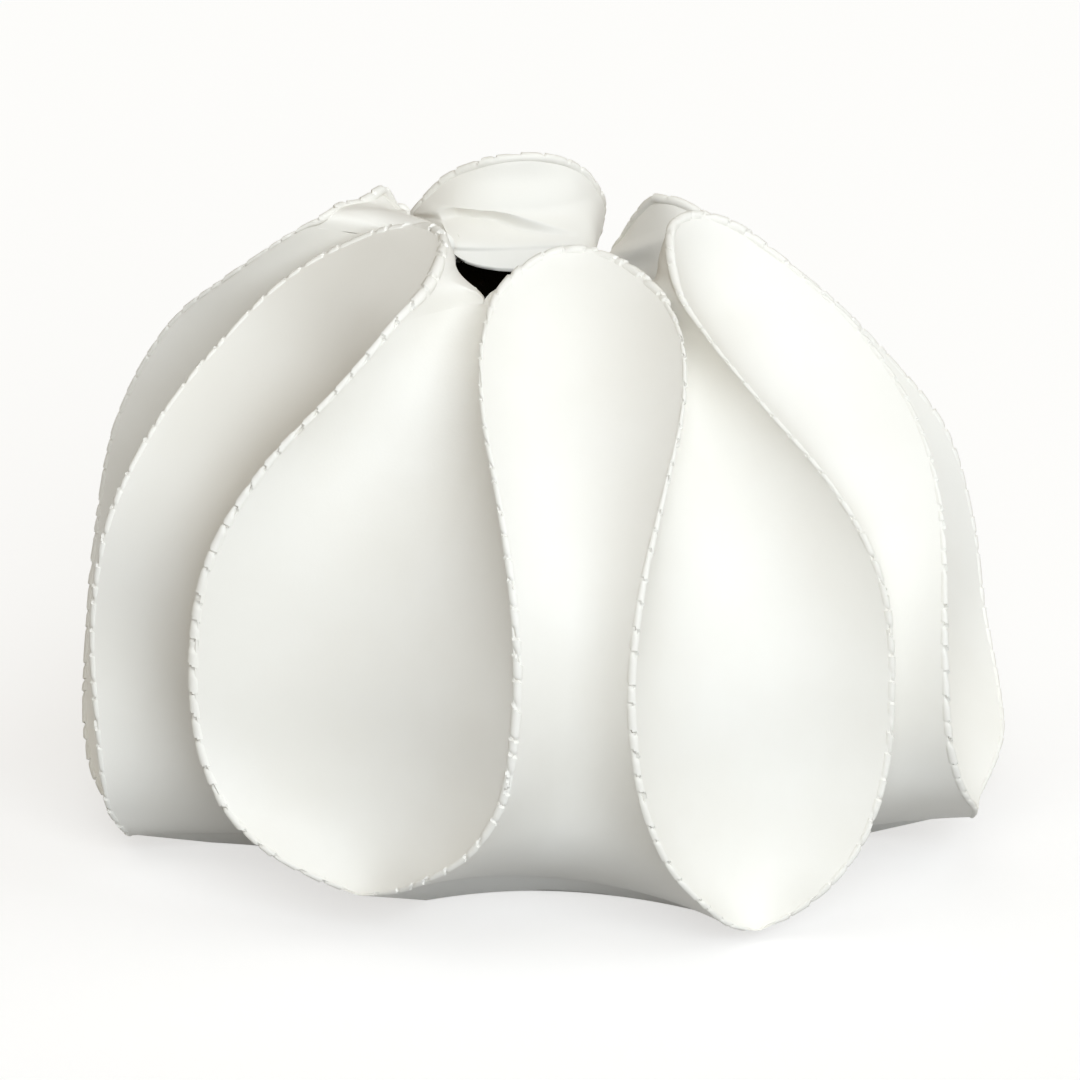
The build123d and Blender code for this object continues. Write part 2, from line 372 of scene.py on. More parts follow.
def sheet(name, outer, normals, depth, materials):  # a wall behind the outer grid, closed by a rounded border
    inner = outer - normals * depth
    rows, columns = outer.shape[:2]
    count = rows * columns
    index = np.arange(count).reshape(rows, columns)
    border = np.concatenate([index[0], index[1:, -1], index[-1, -2::-1], index[-2:0:-1, 0]])
    behind = np.concatenate([index[1], index[1:, -2], index[-2, -2::-1], index[-2:0:-1, 1]])
    flatOuter, flatInner = outer.reshape(-1, 3), inner.reshape(-1, 3)
    middle = (flatOuter[border] + flatInner[border]) / 2
    push = unit(middle - (flatOuter[behind] + flatInner[behind]) / 2)
    thick = np.linalg.norm(flatOuter[border] - flatInner[border], axis=1, keepdims=True)
    rounded = middle + push * thick * edgeShape["roundOut"]
    points = np.concatenate([flatOuter, flatInner, rounded])
    ring = 2 * count + np.arange(len(border))
    faces = quads(index).tolist() + band(ring, border) + band(border + count, ring)
    # The inner faces deep in the wall take the near-black glaze, partly painted shade for the dark inside
    inside = quads(index[:, ::-1])
    low = flatInner[inside][..., 2].max(axis=1) < vase["glazeAndShadeLow"] * mm
    glazeAndShadeFrom = np.where(low, vase["glazeAndShadeFromLow"], vase["glazeAndShadeFrom"])
    deep = depth.ravel()[inside].min(axis=1) > glazeAndShadeFrom * vase["wall"] * mm
    glazeAndShaded = (len(faces) + np.flatnonzero(deep)).tolist()
    return finishMesh(name, points, faces + (inside + count).tolist(), glazeAndShaded, materials)


def wallDepth(grid, left, right, leftTaper, rightTaper, thin):  # thin under the seam and at the crowns
    fromLeft = np.linalg.norm(grid - left[:, None], axis=-1) * leftTaper[:, None]
    fromRight = np.linalg.norm(grid - right[:, None], axis=-1) * rightTaper[:, None]
    wall = vase["wall"] * mm * thin[:, None]
    gained = vase["edge"] * mm + np.minimum(fromLeft, fromRight)
    return (wall * np.tanh(gained / wall))[..., None]


def crownThin(at):  # of the full wall, what is left towards a crown
    return 1 - vase["crownThinning"] * seamValue(crownShareColumn, at)


def settle(piece, node):  # one piece for each solid of the frame
    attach(piece, "root")
    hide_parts(node)


# Clay: cloudy tone, fine tooth and rare specks, shared by the bisque and the dark inner glaze with painted
# shade
clayPattern = {
    "inputs": {"Cloud Size": 22.0, "Tooth Size": 1400.0, "Speck Size": 75.0, "Speck Share": 0.006},
    "cloudDetail": 4.0,
    "toothDetail": 3.0,
    "speckEdge": (0.04, 0.02),  # of a cell, from bare clay to the full speck
    "cloudSpan": (0.35, 0.65),  # of the noise, from the light tone to the dark one
}


def newSocket(group, name, way, kind, value=None):
    made = group.interface.new_socket(name=name, in_out=way, socket_type=kind)
    if value is not None:
        made.default_value = value


def makeClayGroup():
    group = bpy.data.node_groups.new("clayBody", "ShaderNodeTree")
    for name, value in clayPattern["inputs"].items():
        newSocket(group, name, "INPUT", "NodeSocketFloat", value)
    for name in ("Cloud", "Tooth", "Specks"):
        newSocket(group, name, "OUTPUT", "NodeSocketFloat")
    nodes, links = group.nodes, group.links
    given, result = nodes.new("NodeGroupInput"), nodes.new("NodeGroupOutput")
    spot = nodes.new("ShaderNodeTexCoord")
    cloud = nodes.new("ShaderNodeTexNoise")
    cloud.inputs["Detail"].default_value = clayPattern["cloudDetail"]
    tooth = nodes.new("ShaderNodeTexNoise")
    tooth.inputs["Detail"].default_value = clayPattern["toothDetail"]
    speck = nodes.new("ShaderNodeTexVoronoi")
    chosen = nodes.new("ShaderNodeSeparateColor")
    rare = nodes.new("ShaderNodeMath")
    rare.operation = "LESS_THAN"
    small = nodes.new("ShaderNodeMapRange")
    small.inputs["From Min"].default_value, small.inputs["From Max"].default_value = clayPattern["speckEdge"]
    both = nodes.new("ShaderNodeMath")
    both.operation = "MULTIPLY"
    for texture, size in ((cloud, "Cloud Size"), (tooth, "Tooth Size"), (speck, "Speck Size")):
        links.new(spot.outputs["Object"], texture.inputs["Vector"])
        links.new(given.outputs[size], texture.inputs["Scale"])
    links.new(speck.outputs["Color"], chosen.inputs["Color"])
    links.new(chosen.outputs["Red"], rare.inputs[0])
    links.new(given.outputs["Speck Share"], rare.inputs[1])
    links.new(speck.outputs["Distance"], small.inputs["Value"])
    links.new(rare.outputs[0], both.inputs[0])
    links.new(small.outputs["Result"], both.inputs[1])
    links.new(cloud.outputs["Fac"], result.inputs["Cloud"])
    links.new(tooth.outputs["Fac"], result.inputs["Tooth"])
    links.new(both.outputs[0], result.inputs["Specks"])
    return group


clayGroup = makeClayGroup()

bisqueLook = {
    "light": (0.9, 0.88, 0.83, 1.0),
    "dark": (0.87, 0.845, 0.785, 1.0),
    "speck": (0.42, 0.36, 0.27, 1.0),
    "roughness": (0.5, 0.68),
    "tooth": 0.08,
    "toothDepth": 0.0002,  # metres
    "inputs": {},
}

# Inner glaze: a near-black colour, partly the glaze and partly painted shade for the dark inside of the mouth
glazeAndShadeLook = {
    "light": (0.06, 0.045, 0.024, 1.0),  # where it is thin
    "dark": (0.03, 0.022, 0.011, 1.0),  # where it pools
    "speck": None,
    "roughness": (0.18, 0.3),
    "tooth": 0.05,
    "toothDepth": 0.0002,
    "inputs": {"Cloud Size": 35.0, "Tooth Size": 300.0},
}


def clayMaterial(name, look):
    material = bpy.data.materials.new(name)
    material.use_nodes = True
    nodes, links = material.node_tree.nodes, material.node_tree.links
    shader = nodes["Principled BSDF"]
    body = nodes.new("ShaderNodeGroup")
    body.node_tree = clayGroup
    for socket, value in look["inputs"].items():
        body.inputs[socket].default_value = value
    tone = nodes.new("ShaderNodeMix")
    tone.data_type = "RGBA"
    tone.inputs["A"].default_value = look["light"]
    tone.inputs["B"].default_value = look["dark"]
    spread = nodes.new("ShaderNodeMapRange")
    span = clayPattern["cloudSpan"]
    spread.inputs["From Min"].default_value, spread.inputs["From Max"].default_value = span
    links.new(body.outputs["Cloud"], spread.inputs["Value"])
    links.new(spread.outputs["Result"], tone.inputs["Factor"])
    colour = tone.outputs["Result"]
    if look["speck"]:
        dot = nodes.new("ShaderNodeMix")
        dot.data_type = "RGBA"
        dot.inputs["B"].default_value = look["speck"]
        links.new(body.outputs["Specks"], dot.inputs["Factor"])
        links.new(colour, dot.inputs["A"])
        colour = dot.outputs["Result"]
    links.new(colour, shader.inputs["Base Color"])
    rough = nodes.new("ShaderNodeMapRange")
    rough.inputs["To Min"].default_value, rough.inputs["To Max"].default_value = look["roughness"]
    links.new(body.outputs["Tooth"], rough.inputs["Value"])
    links.new(rough.outputs["Result"], shader.inputs["Roughness"])
    bump = nodes.new("ShaderNodeBump")
    bump.inputs["Strength"].default_value = look["tooth"]
    bump.inputs["Distance"].default_value = look["toothDepth"]
    links.new(body.outputs["Tooth"], bump.inputs["Height"])
    links.new(bump.outputs["Normal"], shader.inputs["Normal"])
    return material


bisque = clayMaterial("bisquePorcelain", bisqueLook)
# The dark inner finish: a glaze with painted shade for the shaded inside
glazeAndShade = clayMaterial("innerGlazeAndShade", glazeAndShadeLook)
print("materials ready")

# Petals: concave teardrops of the upper sheet
petalShape = {
    "rows": 120,
    "columns": 61,
    "crowding": 1.25,  # how much closer rows lie towards a tip
    "dentSize": 60.0,
    "dentDepth": 0.5,
    "dentSeed": 10,
    "calmRun": 25.0,  # below the neck, where the dents fade
}


def cosineSteps(count):  # from 0 to 1, closer together at both ends
    return (1 - np.cos(np.linspace(0, math.pi, count))) / 2


for petal in range(lobeCount):
    tip = clearOf(petalRails, petal, 0.0)
    at = tip + (along["neck"] - tip) * np.linspace(0, 1, petalShape["rows"]) ** petalShape["crowding"]
    left, control, right = petalRails(petal, at)
    after = (petal + 1) % lobeCount
    trims = ridgeFrame(petal, 1, at)[3][0], ridgeFrame(after, -1, at)[3][0]
    outer = trimEdges(bow(left, control, right, cosineSteps(petalShape["columns"])), *trims)
    normals = gridNormals(outer)
    normals[0] = normals[1]
    tapers = ridgeTaper(petal, 1, at), ridgeTaper(after, -1, at)
    depth = wallDepth(outer, left, right, *tapers, crownThin(at))
    dents = softDents(outer, petalShape, petal)
    dents *= np.clip((along["neck"] - at) / (petalShape["calmRun"] * mm), 0, 1)[:, None]
    outer = outer + normals * dents[..., None] * depth / (vase["wall"] * mm)
    piece = sheet(f"petal_{petal + 1}", outer, normals, depth, [bisque, glazeAndShade])
    settle(piece, f"petal_{petal + 1}")
print("petals ready")

# Channel panels: keyhole hollows of the lower sheet, with a skirt that runs down to the slab
channelShape = {
    "rows": 140,
    "columns": 49,
    "skirtRows": 8,
    "dentSize": 55.0,
    "dentDepth": 0.4,
    "dentSeed": 30,
    "footHeight": 0.3,
    "footCusp": 88.0,  # from the axis to the skirt's foot under a petal's tip
    "footHollow": 60.0,  # and under the middle of a lobe
    "tuckUnder": 1.6,  # how much further in the foot lies for each millimetre that a tip is lifted
    "tipRun": 8.0,  # along the seam from a tip, where the sheet begins to draw back
}


def starRail(lobe, cusp, hollow, height):  # the foot's outline under one lobe, from petal tip to petal tip
    petals = [petalBeside(lobe, -1), lobe]
    tips = []
    for petal in petals:
        radius = cusp + vase["petalReaches"][petal] - channelShape["tuckUnder"] * vase["petalLifts"][petal]
        azimuth = np.array([vase["petalAzimuths"][petal] + vase["petalLeans"][petal]])
        tips.append(place(radius, azimuth, height))
    left, right = tips
    beside = sum(vase["petalReaches"][petal] for petal in petals) / 2
    return left, hollowMiddle(left, right, np.array([hollow + beside])), right


for lobe in range(lobeCount):
    at = clearOf(channelRails, lobe, along["apex"]) * np.linspace(0, 1, channelShape["rows"])
    foot = starRail(lobe, channelShape["footCusp"], channelShape["footHollow"], channelShape["footHeight"])
    skirtRows = channelShape["skirtRows"]
    climb = np.linspace(0, 1, skirtRows, endpoint=False)[:, None]
    left, control, right = (
        np.concatenate([low * (1 - climb) + high[:1] * climb, high])
        for low, high in zip(foot, channelRails(lobe, at))
    )
    fromTip = np.clip(at / (channelShape["tipRun"] * mm), 0, 1)
    skirt = np.zeros(skirtRows)
    trims = [np.concatenate([skirt, ridgeFrame(lobe, side, at)[3][1] * fromTip]) for side in (-1, 1)]
    outer = trimEdges(bow(left, control, right, cosineSteps(channelShape["columns"])), *trims)
    normals = gridNormals(outer)
    normals[-1] = normals[-2]
    tapers = [withFirst(ridgeTaper(lobe, side, at), skirtRows) for side in (-1, 1)]
    behind = vase["backThinning"] * seamValue(backShareColumn, at) * (vase["backDrops"][lobe] > 0)
    thin = np.concatenate([np.ones(skirtRows), crownThin(at) * (1 - behind)])
    depth = wallDepth(outer, left, right, *tapers, thin)
    dents = softDents(outer, channelShape, lobe)
    outer = outer + normals * dents[..., None] * depth / (vase["wall"] * mm)
    piece = sheet(f"channel_panel_{lobe + 1}", outer, normals, depth, [bisque, glazeAndShade])
    settle(piece, f"channel_panel_{lobe + 1}")
print("channel panels ready")

# Rim caps: the upper sheet rolls over each lobe and curls down into the mouth
fold = {
    "lobe": 3,
    "line": [(-42.0, 150.0), (-27.0, 155.0), (-17.0, 154.5), (-9.0, 152.0), (6.0, 149.0)],  # X and height
    "depth": 2.2,
    "width": 1.2,  # across the fold, from the tucked side to the full one
    "fullRun": 6.0,  # how far the fullness reaches above it
    "tuckRun": 4.0,  # how far the tuck reaches below it
    "tuckShare": 0.8,  # of the depth, what is tucked in
    "fadeRun": 18.0,  # before its right end, where it fades
}


def smoothStep(share):
    return share * share * (3 - 2 * share)


def halfNeck(lobe, side, steps):  # from a lobe's seam along the petal's neck to the saddle
    left, control, right = petalRails(petalBeside(lobe, side), np.array([along["neck"]]))
    return bow(left, control, right, steps / 2 if side > 0 else 1 - steps / 2)[0]


def capSide(lobe, side, at):  # half of a cap, from its seam to the middle of its mouth side
    rails = capRails(lobe, at)
    ridge, pull, middle = rails[:3] if side < 0 else rails[:1:-1]
    saddle = capShape["saddleShare"]
    steps = np.linspace(0, 1, (capShape["columns"] + 1) // 2)
    neck = halfNeck(lobe, side, np.clip(steps / saddle, 0, 1))
    toMouth = np.clip((steps - saddle) / (1 - saddle), 0, 1)
    outwards = middle[0] * [1, 1, 0] / np.linalg.norm(middle[0, :2])
    tuckRadius = capShape["neckRadius"] + vase["lipReaches"][lobe]
    tuck = outwards * tuckRadius * mm + [0, 0, middle[0, 2] + vase["lipLifts"][lobe] * mm]
    corner = tuck + (pull[0] - middle[0]) * capShape["cornerPull"]
    swing = bow(neck[-1:], corner[None], tuck[None], toMouth)[0]
    neckCurve = np.where(toMouth[:, None] > 0, swing, neck)
    share = steps[None, :, None]
    inner = ridge + (pull - ridge) * capShape["innerPull"]
    full = (
        ridge[:, None] * (1 - share) ** 3
        + inner[:, None] * 3 * share * (1 - share) ** 2
        + pull[:, None] * 3 * share**2 * (1 - share)
        + middle[:, None] * share**3
    )
    raised = neckCurve + (ridge - ridge[0])[:, None] * (1 - share)
    raised = raised + ((middle - middle[0]) * [0, 0, 1])[:, None] * share
    blend = (at - along["neck"]) / (along[capShape["blendRow"]] - along["neck"])
    blend = smoothStep(np.clip(blend, 0, 1))[:, None, None]
    upper = raised * (1 - blend) + full * blend
    fall = np.linspace(1, 0, capShape["lipRows"], endpoint=False)[:, None, None]
    lipHeight = min(capShape["lipHeight"] * mm, tuck[2] - capShape["lipDrop"] * mm)
    lip = outwards * (tuckRadius - capShape["lipTurn"]) * mm + [0, 0, lipHeight]
    curl = np.sin(toMouth * math.pi / 2)[None, :, None] ** capShape["lipCurl"]
    lower = neckCurve + (lip - tuck) * curl * fall
    return np.concatenate([lower, upper])


def capPulls(lobe, at):
    return capRails(lobe, at)[1:4]


def foldPush(grid):  # the clay folds over itself: full above the fold, tucked in below it
    line = np.array(fold["line"]) * mm
    above = (grid[..., 2] - np.interp(grid[..., 0], line[:, 0], line[:, 1])) / mm
    fade = np.clip((line[-1, 0] - grid[..., 0]) / (fold["fadeRun"] * mm), 0, 1)
    step = smoothStep(np.clip(above / fold["width"] + 0.5, 0, 1))
    full = np.exp(-np.abs(above) / fold["fullRun"]) * step
    tucked = fold["tuckShare"] * np.exp(-np.abs(above) / fold["tuckRun"]) * (1 - step)
    bulge = np.sin(math.pi * np.linspace(0, 1, grid.shape[1])) ** 0.5  # none at the seam
    return fold["depth"] * mm * fade * (full - tucked) * bulge


for lobe in range(lobeCount):
    crown = clearOf(capPulls, lobe, along["apex"])
    at = along["neck"] + (crown - along["neck"]) * np.linspace(0, 1, capShape["rows"])
    lips = capShape["lipRows"]
    left, right = capSide(lobe, -1, at), capSide(lobe, 1, at)
    trims = [withFirst(ridgeFrame(lobe, side, at)[3][0], lips) for side in (-1, 1)]
    outer = trimEdges(np.concatenate([left, right[:, -2::-1]], axis=1), *trims)
    normals = -gridNormals(outer)
    normals[-1] = normals[-2]
    steps = 1 - np.abs(np.linspace(-1, 1, capShape["columns"]))
    free = np.clip((steps - capShape["saddleShare"]) / capShape["freeRun"], 0, 1)[None, :, None]
    normals[:lips + 1] = unit(normals[lips + 1] * (1 - free) + normals[:lips + 1] * free)
    if lobe == fold["lobe"]:
        outer = outer + normals * foldPush(outer)[..., None]
    tapers = [withFirst(ridgeTaper(lobe, side, at), lips) for side in (-1, 1)]
    thin = np.concatenate([np.linspace(capShape["lipThin"], 1, lips), crownThin(at)])
    ridges = [withFirst(half[lips:, 0], lips) for half in (left, right)]
    depth = wallDepth(outer, *ridges, *tapers, thin)
    piece = sheet(f"rim_cap_{lobe + 1}", outer, normals, depth, [bisque])
    settle(piece, f"rim_cap_{lobe + 1}")
print("rim caps ready")

# Base slab: a star under the walls, with the dark glaze and painted shade on all but its underside
slabShape = {
    "levels": [(0.0, 57.5, 84.0), (4.0, 61.5, 92.0)],  # height, then from the axis to the hollows and cusps
    "columns": 40,
}


def starLoop(cusp, hollow, height):
    across = np.linspace(0, 1, slabShape["columns"], endpoint=False)
    rails = [starRail(lobe, cusp, hollow, height) for lobe in range(lobeCount)]
    return np.concatenate([bow(*rail, across)[0] for rail in rails])


def makeSlab():
    loops = [starLoop(cusp, hollow, height) for height, hollow, cusp in slabShape["levels"]]
    middles = [[0.0, 0.0, height * mm] for height, _, _ in slabShape["levels"]]
    count = len(loops[0])
    points = np.concatenate([*loops, middles])
    ring = np.arange(count)
    after = np.roll(ring, -1)
    faces = band(ring, ring + count)
    faces += np.stack([after, ring, np.full(count, 2 * count)], axis=-1).tolist()
    faces += np.stack([ring + count, after + count, np.full(count, 2 * count + 1)], axis=-1).tolist()
    # its sides and top take the dark glaze with painted shade
    glazeAndShaded = [*range(count), *range(2 * count, 3 * count)]
    return finishMesh("base_slab", points, faces, glazeAndShaded, [bisque, glazeAndShade])


settle(makeSlab(), "base_slab")
print("base slab ready")

# Pressed rim: the ridge is rounded where the sheets join, and nicked with a tool all the way round
rimShape = {
    "pathStep": 1.0,  # millimetres, as the other lengths are
    "ringStep": 0.5,
    "sides": 14,
    "sharp": 40.0,  # degrees
    "widest": 50.0,  # degrees, half of the widest angle that is rounded
    "proud": 0.2,  # how far the rim stands out from the sheets
    "easing": 12,  # how often its turn at tips and crowns is eased
    "crownSink": 1.1,  # from the ridge to the rim's middle at a crown
    "crownRound": 1.3,  # the rim's radius there
    "pitch": 6.3,  # from nick to nick
    "depth": 1.15,
    "ramp": 0.36,  # of the pitch, how far a nick eases back
    "swell": 0.25,  # of the depth, how far a tooth swells
    "skew": 0.8,  # how far a nick slants over the rim
    "uneven": 0.35,  # of the pitch, how far nicks drift
    "unevenRun": 9.0,  # along the rim, from one drift to the next
    "noiseGain": 4.0,  # brings the noise up to the full drift
    "shallowest": 0.45,  # of the depth, what the faintest nick has
    "faceGain": 0.9,  # how fast nicks fade towards the sheets
    "faceBase": 0.5,  # of the depth, what is left half-way round
    "seed": 7,
}


def carry(mesh, name, kind, values):  # a value on each point, for the nodes to read
    key = "vector" if kind == "FLOAT_VECTOR" else "value"
    mesh.attributes.new(name, kind, "POINT").data.foreach_set(key, values.ravel())


def makeSeamPath():  # the middle of the rim as one closed run of edges, with how it faces and how round it is
    points, facing, rounds, crowns = [], [], [], []
    for lobe in range(lobeCount):
        climb = np.linspace(0, along["apex"], int(along["apex"] / (rimShape["pathStep"] * mm)))
        for side, at in ((-1, climb[:-1]), (1, climb[:0:-1])):
            upper, lower, clay, _ = ridgeFrame(lobe, side, at)
            points.append(seamPoint(lobe, side, at))
            facing.append(-unit(upper + lower))
            rounds.append(np.minimum(clay / 2, math.radians(rimShape["widest"])))
            crowns.append(np.clip(seamValue(crownShareColumn, at), 0, 1))
    points, facing, rounds, crowns = (np.concatenate(column) for column in (points, facing, rounds, crowns))
    tangents = unit(np.roll(points, -1, axis=0) - np.roll(points, 1, axis=0))
    for _ in range(rimShape["easing"]):
        facing = np.roll(facing, 1, axis=0) + facing + np.roll(facing, -1, axis=0)
        facing = unit(squareTo(tangents, facing))
        rounds = (np.roll(rounds, 1) + rounds + np.roll(rounds, -1)) / 3
    sink = vase["rimBack"] * mm / np.cos(rounds) * (1 - crowns) + rimShape["crownSink"] * mm * crowns
    points = points - facing * sink[:, None]
    radii = vase["rimBack"] * np.tan(rounds) + rimShape["proud"]
    radii = radii * (1 - crowns) + rimShape["crownRound"] * crowns
    mesh = bpy.data.meshes.new("seamPath")
    ring = np.arange(len(points))
    mesh.from_pydata(points.tolist(), np.stack([ring, np.roll(ring, -1)], axis=-1).tolist(), [])
    carry(mesh, "facing", "FLOAT_VECTOR", facing)
    carry(mesh, "across", "FLOAT_VECTOR", np.cross(tangents, facing))
    carry(mesh, "rounding", "FLOAT", radii * mm)
    path = bpy.data.objects.new("pressed_rim", mesh)
    scene.collection.objects.link(path)
    return path


def makeRimTree():
    tree = bpy.data.node_groups.new("pressedRim", "GeometryNodeTree")
    newSocket(tree, "Geometry", "INPUT", "NodeSocketGeometry")
    names = ("Ring Step", "Pitch", "Depth", "Ramp", "Swell", "Skew", "Uneven", "Uneven Run", "Shallowest")
    for name in names:
        newSocket(tree, name, "INPUT", "NodeSocketFloat")
    newSocket(tree, "Sides", "INPUT", "NodeSocketInt")
    newSocket(tree, "Seed", "INPUT", "NodeSocketInt")
    newSocket(tree, "Finish", "INPUT", "NodeSocketMaterial")
    newSocket(tree, "Geometry", "OUTPUT", "NodeSocketGeometry")
    nodes, links = tree.nodes, tree.links
    given, result = nodes.new("NodeGroupInput"), nodes.new("NodeGroupOutput")

    def calc(operation, *values):  # numbers or links
        node = nodes.new("ShaderNodeMath")
        node.operation = operation
        for socket, value in zip(node.inputs, values):
            if isinstance(value, (int, float)):
                socket.default_value = value
            else:
                links.new(value, socket)
        return node.outputs[0]

    def carried(name, kind):
        node = nodes.new("GeometryNodeInputNamedAttribute")
        node.data_type = kind
        node.inputs["Name"].default_value = name
        return node.outputs["Attribute"]

    def towards(direction):  # how far the rim's surface faces that way
        node = nodes.new("ShaderNodeVectorMath")
        node.operation = "DOT_PRODUCT"
        links.new(outwards, node.inputs[0])
        links.new(direction, node.inputs[1])
        return node.outputs["Value"]

    outwards = nodes.new("GeometryNodeInputNormal").outputs["Normal"]
    curve = nodes.new("GeometryNodeMeshToCurve")
    even = nodes.new("GeometryNodeResampleCurve")
    even.mode = "LENGTH"
    measured = nodes.new("GeometryNodeStoreNamedAttribute")
    measured.data_type, measured.domain = "FLOAT", "POINT"
    measured.inputs["Name"].default_value = "run"
    ring = nodes.new("GeometryNodeCurvePrimitiveCircle")
    ring.inputs["Radius"].default_value = 1.0
    rim = nodes.new("GeometryNodeCurveToMesh")
    nicked = nodes.new("GeometryNodeSetPosition")
    real = nodes.new("GeometryNodeRealizeInstances")
    finish = nodes.new("GeometryNodeSetMaterial")

    # where on its tooth a point lies, from 0 just past a nick to 1 at the next
    wobble = nodes.new("ShaderNodeTexNoise")
    wobble.noise_dimensions = "1D"
    run = carried("run", "FLOAT")
    spot = calc("ADD", calc("DIVIDE", run, given.outputs["Uneven Run"]), given.outputs["Seed"])
    links.new(spot, wobble.inputs["W"])
    wobble.inputs["Scale"].default_value = 1.0
    most = calc("MULTIPLY", given.outputs["Uneven"], rimShape["noiseGain"])
    drift = calc("MULTIPLY", calc("SUBTRACT", wobble.outputs["Fac"], 0.5), most)
    slant = calc("MULTIPLY", towards(carried("across", "FLOAT_VECTOR")), given.outputs["Skew"])
    teeth = calc("ADD", calc("DIVIDE", calc("ADD", run, slant), given.outputs["Pitch"]), drift)
    onTooth = calc("FRACT", teeth)
    chance = nodes.new("FunctionNodeRandomValue")
    chance.data_type = "FLOAT"
    chanceIn = {socket.identifier: socket for socket in chance.inputs}
    links.new(given.outputs["Shallowest"], chanceIn["Min_001"])
    links.new(calc("FLOOR", teeth), chanceIn["ID"])
    links.new(given.outputs["Seed"], chanceIn["Seed"])
    strong = {socket.identifier: socket for socket in chance.outputs}["Value_001"]

    # each nick drops steeply and eases back along its tooth, and the tooth swells towards the next
    easing = calc("SUBTRACT", 1.0, calc("DIVIDE", onTooth, given.outputs["Ramp"]))
    cut = calc("POWER", calc("MAXIMUM", easing, 0.0), 2.0)
    nick = calc("SUBTRACT", cut, calc("MULTIPLY", onTooth, given.outputs["Swell"]))
    outer = towards(carried("facing", "FLOAT_VECTOR"))
    shown = calc("MULTIPLY_ADD", outer, rimShape["faceGain"], rimShape["faceBase"])
    shown.node.use_clamp = True
    sink = calc("MULTIPLY", calc("MULTIPLY", nick, shown), calc("MULTIPLY", strong, given.outputs["Depth"]))
    inwards = nodes.new("ShaderNodeVectorMath")
    inwards.operation = "SCALE"
    links.new(outwards, inwards.inputs[0])
    links.new(calc("MULTIPLY", sink, -1.0), inwards.inputs["Scale"])

    links.new(given.outputs["Geometry"], curve.inputs["Mesh"])
    links.new(curve.outputs["Curve"], even.inputs["Curve"])
    links.new(given.outputs["Ring Step"], even.inputs["Length"])
    links.new(even.outputs["Curve"], measured.inputs["Geometry"])
    links.new(nodes.new("GeometryNodeSplineParameter").outputs["Length"], measured.inputs["Value"])
    links.new(measured.outputs["Geometry"], rim.inputs["Curve"])
    links.new(given.outputs["Sides"], ring.inputs["Resolution"])
    links.new(ring.outputs["Curve"], rim.inputs["Profile Curve"])
    links.new(carried("rounding", "FLOAT"), rim.inputs["Scale"])
    links.new(rim.outputs["Mesh"], nicked.inputs["Geometry"])
    links.new(inwards.outputs["Vector"], nicked.inputs["Offset"])
    links.new(nicked.outputs["Geometry"], real.inputs["Geometry"])
    links.new(real.outputs["Geometry"], finish.inputs["Geometry"])
    links.new(given.outputs["Finish"], finish.inputs["Material"])
    links.new(finish.outputs["Geometry"], result.inputs["Geometry"])
    return tree


def makeRim():
    rim = makeSeamPath()
    modifier = rim.modifiers.new("pressedRim", "NODES")
    modifier.node_group = makeRimTree()
    sockets = modifier.node_group.interface.items_tree
    keys = {item.name: item.identifier for item in sockets if item.in_out == "INPUT"}
    lengths = {
        "Ring Step": "ringStep",
        "Pitch": "pitch",
        "Depth": "depth",
        "Skew": "skew",
        "Uneven Run": "unevenRun",
    }
    for name, value in lengths.items():
        modifier[keys[name]] = rimShape[value] * mm
    for name in ("Ramp", "Swell", "Uneven", "Shallowest", "Sides", "Seed"):
        modifier[keys[name]] = rimShape[name.lower()]
    modifier[keys["Finish"]] = bisque
    bpy.context.view_layer.update()
    made = bpy.data.meshes.new_from_object(rim.evaluated_get(bpy.context.evaluated_depsgraph_get()))
    rim.modifiers.clear()
    rim.data = made
    made.shade_smooth()
    made.set_sharp_from_angle(angle=math.radians(rimShape["sharp"]))
    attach(rim, "root")
    print("pressed rim", len(made.polygons), "faces")


makeRim()

# Stage: a pale floor that looks white to the camera and in reflections, and keeps the shadow
stage = {
    "half": 6.0,  # metres
    "colour": (0.45, 0.45, 0.45, 1.0),
    "roughness": 0.9,
    "lift": 0.63,
    "liftColour": (1.0, 0.99, 0.975, 1.0),
}


def makeFloor():
    half = stage["half"]
    mesh = bpy.data.meshes.new("floor")
    corners = [(-half, -half, 0), (half, -half, 0), (half, half, 0), (-half, half, 0)]
    mesh.from_pydata(corners, [], [(0, 1, 2, 3)])
    material = bpy.data.materials.new("paleFloor")
    material.use_nodes = True
    nodes, links = material.node_tree.nodes, material.node_tree.links
    shader = nodes["Principled BSDF"]
    shader.inputs["Base Color"].default_value = stage["colour"]
    shader.inputs["Roughness"].default_value = stage["roughness"]
    shader.inputs["Specular IOR Level"].default_value = 0.0
    shader.inputs["Emission Color"].default_value = stage["liftColour"]
    path = nodes.new("ShaderNodeLightPath")
    glow = nodes.new("ShaderNodeMath")
    glow.operation = "MULTIPLY"
    glow.inputs[1].default_value = stage["lift"]
    seen = path.outputs["Is Camera Ray"]
    for ray in ("Is Glossy Ray", "Is Transmission Ray"):
        either = nodes.new("ShaderNodeMath")
        either.operation = "MAXIMUM"
        links.new(seen, either.inputs[0])
        links.new(path.outputs[ray], either.inputs[1])
        seen = either.outputs[0]
    links.new(seen, glow.inputs[0])
    links.new(glow.outputs[0], shader.inputs["Emission Strength"])
    mesh.materials.append(material)
    floor = bpy.data.objects.new("floor", mesh)
    scene.collection.objects.link(floor)


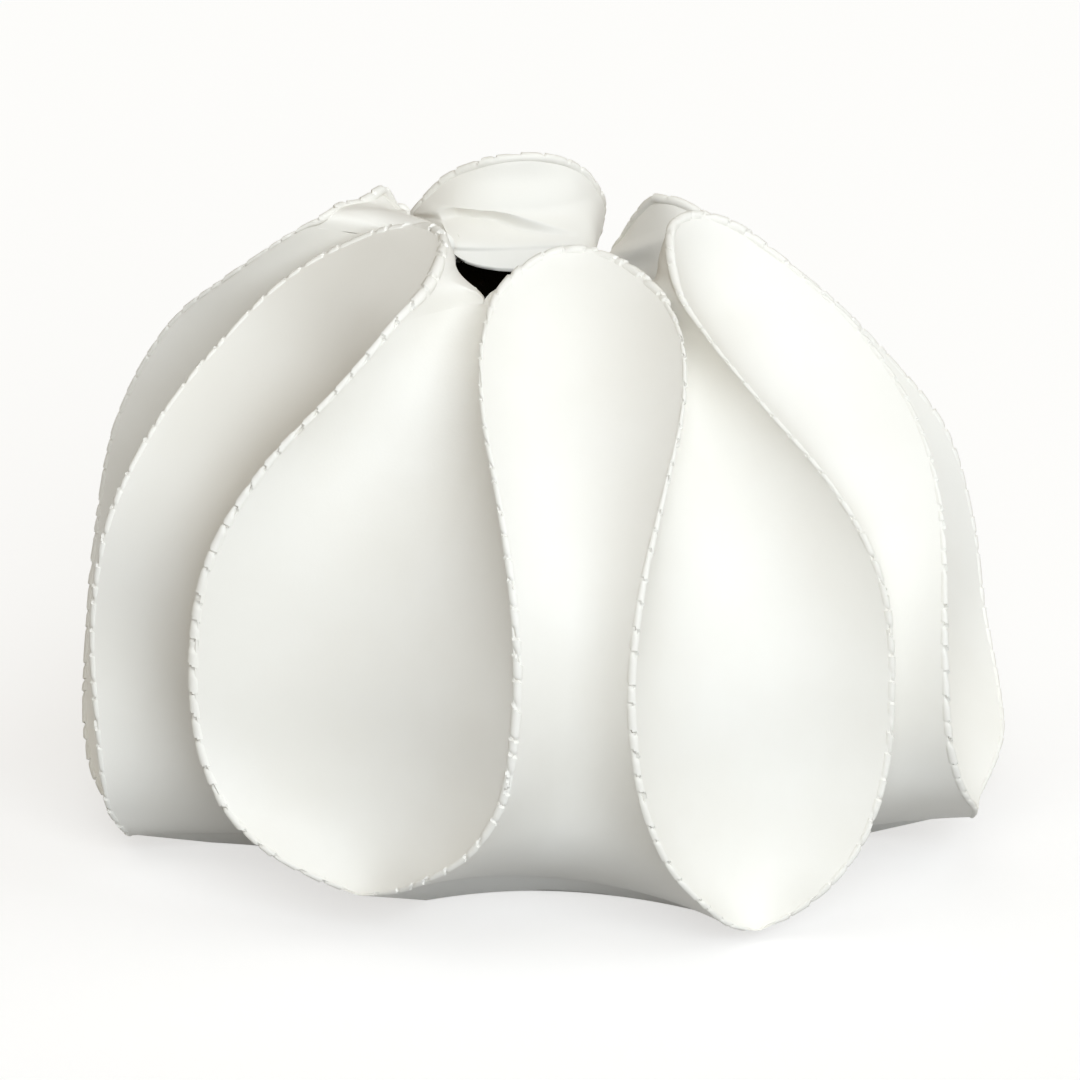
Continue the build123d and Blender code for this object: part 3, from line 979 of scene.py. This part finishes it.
makeFloor()

# Light: a warm even room, a broad soft lamp in front, a weaker one from the right, a faint one high left
light = {
    "room": 0.26,
    "roomColour": (1.0, 0.83, 0.57, 1.0),
    "lampColour": (0.85, 0.925, 1.0),
    "lampDistance": 2.0,  # metres
    "front": {"strength": 2.15, "spread": 40.0, "azimuth": 13.0, "elevation": 24.0},
    "top": {"strength": 0.6, "spread": 60.0, "azimuth": -60.0, "elevation": 65.0},
    "right": {"strength": 0.95, "spread": 50.0, "azimuth": 82.0, "elevation": 35.0},
}

room = bpy.data.worlds.new("room")
room.use_nodes = True
room.node_tree.nodes["Background"].inputs["Color"].default_value = light["roomColour"]
room.node_tree.nodes["Background"].inputs["Strength"].default_value = light["room"]
scene.world = room


def addSun(name, lamp):
    sun = bpy.data.lights.new(name, "SUN")
    sun.energy = lamp["strength"]
    sun.color = light["lampColour"]
    sun.angle = math.radians(lamp["spread"])
    turn, rise = math.radians(lamp["azimuth"]), math.radians(lamp["elevation"])
    source = Vector((math.sin(turn) * math.cos(rise), -math.cos(turn) * math.cos(rise), math.sin(rise)))
    holder = bpy.data.objects.new(name, sun)
    holder.rotation_euler = source.to_track_quat("Z", "Y").to_euler()
    holder.location = source * light["lampDistance"]
    scene.collection.objects.link(holder)


for side in ("front", "top", "right"):
    addSun(side + "Lamp", light[side])

# Camera: the photograph's low view from a little above, in millimetres and degrees
view = {"aim": (-5.05, 0.0, 77.4), "distance": 2550.0, "elevation": 16.8, "lens": 324.4, "sensor": 36.0}


def makeCamera():
    lens = bpy.data.cameras.new("camera")
    lens.lens = view["lens"]
    lens.sensor_width = view["sensor"]
    camera = bpy.data.objects.new("camera", lens)
    rise = math.radians(view["elevation"])
    back = Vector((0.0, -math.cos(rise), math.sin(rise)))
    camera.location = Vector(view["aim"]) * mm + back * view["distance"] * mm
    camera.rotation_euler = back.to_track_quat("Z", "Y").to_euler()
    scene.collection.objects.link(camera)
    scene.camera = camera


makeCamera()
scene.view_settings.view_transform = "Standard"
